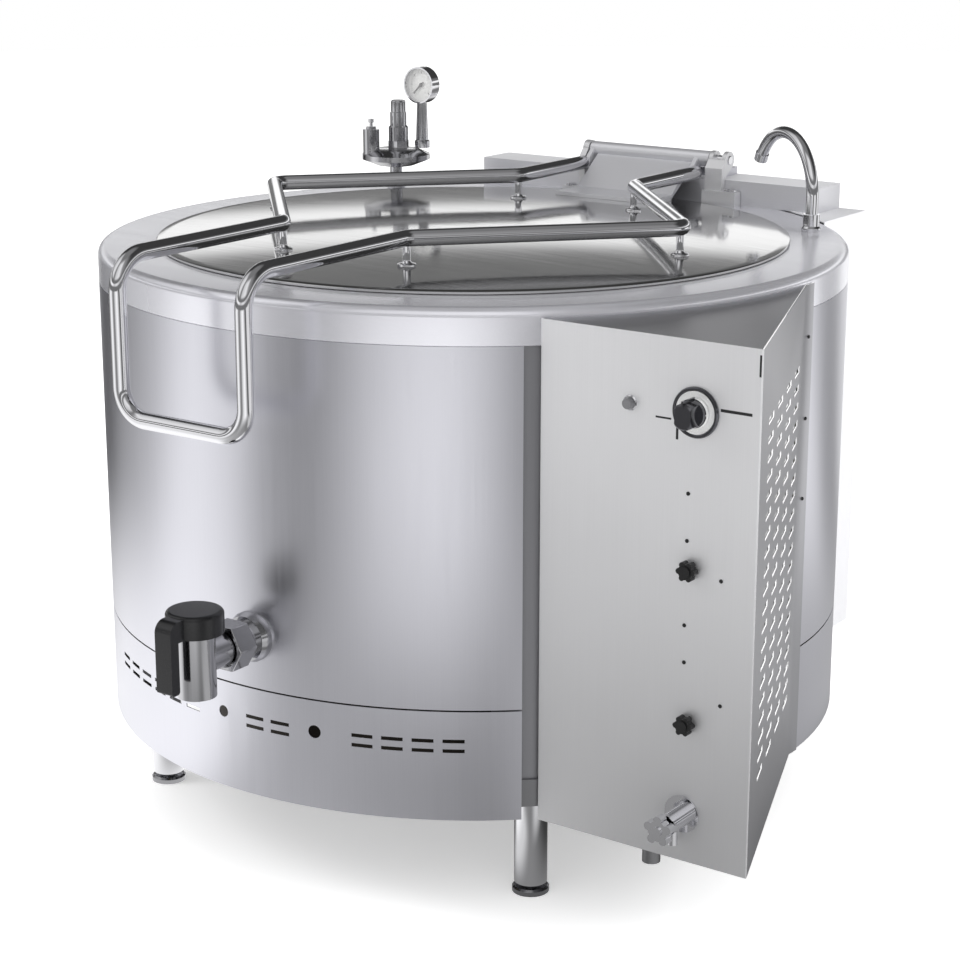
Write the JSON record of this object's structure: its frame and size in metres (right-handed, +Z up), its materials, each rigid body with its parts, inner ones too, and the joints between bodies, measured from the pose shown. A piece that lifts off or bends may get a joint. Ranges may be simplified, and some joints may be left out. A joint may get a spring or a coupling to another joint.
{
  "type": "steam jacketed kettle",
  "caption": "Round gas-heated steam jacketed boiling kettle with hinged balanced lid, rail handle, front draw-off cock, control box, water spout and jacket safety group.",
  "frame": {"origin": "on the floor at the axis of the round vessel, midway between the legs", "axes": "+Z up along the vessel axis; -Y towards the front with the draw-off cock; +X to the right, where the control box is"},
  "size_m": [1.3659, 1.389, 1.123],
  "materials": {
    "casing_steel": "satin",
    "polished_steel": "fine satin",
    "chrome_steel": "polished",
    "vessel_steel": "satin",
    "frame_steel": "satin",
    "pipe_steel": "drawn",
    "burner_iron": "raw",
    "valve_brass": "machined",
    "black_plastic": "satin",
    "gasket_rubber": "matt",
    "mineral_wool": "matt",
    "dial_white": "matt",
    "needle_black": "matt",
    "gauge_glass": "clear"
  },
  "bodies": {
    "kettle": {"balance_springs": "pipe_steel", "base_frame": "frame_steel", "body_liner": "casing_steel", "box_chassis": "casing_steel", "burner": "burner_iron", "chamber_wall": "vessel_steel", "cock_body": "chrome_steel", "cock_pipe": "chrome_steel", "deck_ring": "polished_steel", "drain_pipe": "pipe_steel", "drain_tap_body": "chrome_steel", "flue_box": "casing_steel", "flue_duct": "vessel_steel", "flue_grille": "casing_steel", "front_panel": "casing_steel", "gas_bezel": "chrome_steel", "gas_inlet_pipe": "pipe_steel", "gas_valve": "valve_brass", "gauge_case": "chrome_steel", "gauge_dial": "dial_white", "gauge_glass": "gauge_glass", "hinge_bolts": "chrome_steel", "hinge_bracket_left": "casing_steel", "hinge_bracket_right": "casing_steel", "hinge_shaft": "chrome_steel", "igniter_body": "chrome_steel", "inner_vessel": "vessel_steel", "insulation": "mineral_wool", "leg_tubes": "frame_steel", "level_column": "pipe_steel", "lower_skirt": "casing_steel", "panel_screws": "chrome_steel", "rear_housing": "casing_steel", "safety_manifold": "chrome_steel", "safety_valve_body": "chrome_steel", "side_panel": "casing_steel", "steam_jacket": "vessel_steel", "swan_ferrule": "chrome_steel", "union_nut": "chrome_steel", "upper_skin": "casing_steel", "water_pipe": "pipe_steel"},
    "lid": {"lid": "polished_steel", "lid_gasket": "gasket_rubber", "lid_handle": "chrome_steel", "hinge_leaf": "polished_steel"},
    "cock_handle": {"cock_handle": "black_plastic", "cock_plug": "chrome_steel"},
    "swan_spout": {"swan_neck": "chrome_steel"},
    "gas_knob": {"gas_knob": "chrome_steel"},
    "igniter_button": {"igniter_button": "black_plastic"},
    "level_knob_upper": {"level_knob_upper": "black_plastic"},
    "level_knob_lower": {"level_knob_lower": "black_plastic"},
    "drain_handle": {"drain_tap_handle": "chrome_steel"},
    "gauge_needle": {"gauge_needle": "needle_black"},
    "safety_cap": {"safety_valve_cap": "chrome_steel"},
    "vacuum_pin": {"vacuum_valve_pin": "chrome_steel"},
    "foot_front_left": {"foot_front_left": "frame_steel"},
    "foot_front_right": {"foot_front_right": "frame_steel"},
    "foot_rear_left": {"foot_rear_left": "frame_steel"},
    "foot_rear_right": {"foot_rear_right": "frame_steel"}
  },
  "joints": [
    {"name": "lid_hinge", "type": "hinge", "parent": "kettle", "child": "lid", "pos_m": [0, 0.535, 0.982], "axis": [-1, 0, 0], "range_deg": [0, 85]},
    {"name": "cock_turn", "type": "hinge", "parent": "kettle", "child": "cock_handle", "pos_m": [0.028, -0.718, 0.441], "axis": [0, 0, 1], "range_deg": [0, 90]},
    {"name": "spout_swivel", "type": "hinge", "parent": "kettle", "child": "swan_spout", "pos_m": [0.425, 0.352, 0.908], "axis": [0, 0, 1], "range_deg": [-60, 100]},
    {"name": "gas_knob_turn", "type": "hinge", "parent": "kettle", "child": "gas_knob", "pos_m": [0.669, -0.43, 0.795], "axis": [0, -1, 0], "range_deg": [0, 210]},
    {"name": "igniter_press", "type": "slide", "parent": "kettle", "child": "igniter_button", "axis": [0, 1, 0], "range_m": [0, 0.006], "stiffness_N_per_m": 400, "springref_m": -0.002},
    {"name": "level_upper_turn", "type": "hinge", "parent": "kettle", "child": "level_knob_upper", "pos_m": [0.667, -0.43, 0.577], "axis": [0, -1, 0], "range_deg": [0, 180]},
    {"name": "level_lower_turn", "type": "hinge", "parent": "kettle", "child": "level_knob_lower", "pos_m": [0.668, -0.43, 0.356], "axis": [0, -1, 0], "range_deg": [0, 180]},
    {"name": "drain_turn", "type": "hinge", "parent": "kettle", "child": "drain_handle", "pos_m": [0.653, -0.466, 0.209], "axis": [0, -1, 0], "range_deg": [0, 270]},
    {"name": "gauge_sweep", "type": "hinge", "parent": "kettle", "child": "gauge_needle", "pos_m": [-0.407, 0.404, 1.09], "axis": [0, 1, 0], "range_deg": [0, 270], "stiffness_Nm_per_rad": 0.001, "springref_deg": -22.92},
    {"name": "safety_lift", "type": "slide", "parent": "kettle", "child": "safety_cap", "axis": [0, 0, 1], "range_m": [0, 0.003], "stiffness_N_per_m": 2500, "springref_m": -0.002},
    {"name": "vacuum_drop", "type": "slide", "parent": "kettle", "child": "vacuum_pin", "axis": [0, 0, -1], "range_m": [0, 0.003], "stiffness_N_per_m": 400, "springref_m": -0.002},
    {"name": "foot_front_left_screw", "type": "hinge", "parent": "kettle", "child": "foot_front_left", "pos_m": [-0.368, -0.368, 0], "axis": [0, 0, 1], "range_deg": [-180, 180]},
    {"name": "foot_front_right_screw", "type": "hinge", "parent": "kettle", "child": "foot_front_right", "pos_m": [0.368, -0.368, 0], "axis": [0, 0, 1], "range_deg": [-180, 180]},
    {"name": "foot_rear_left_screw", "type": "hinge", "parent": "kettle", "child": "foot_rear_left", "pos_m": [-0.368, 0.368, 0], "axis": [0, 0, 1], "range_deg": [-180, 180]},
    {"name": "foot_rear_right_screw", "type": "hinge", "parent": "kettle", "child": "foot_rear_right", "pos_m": [0.368, 0.368, 0], "axis": [0, 0, 1], "range_deg": [-180, 180]}
  ]
}
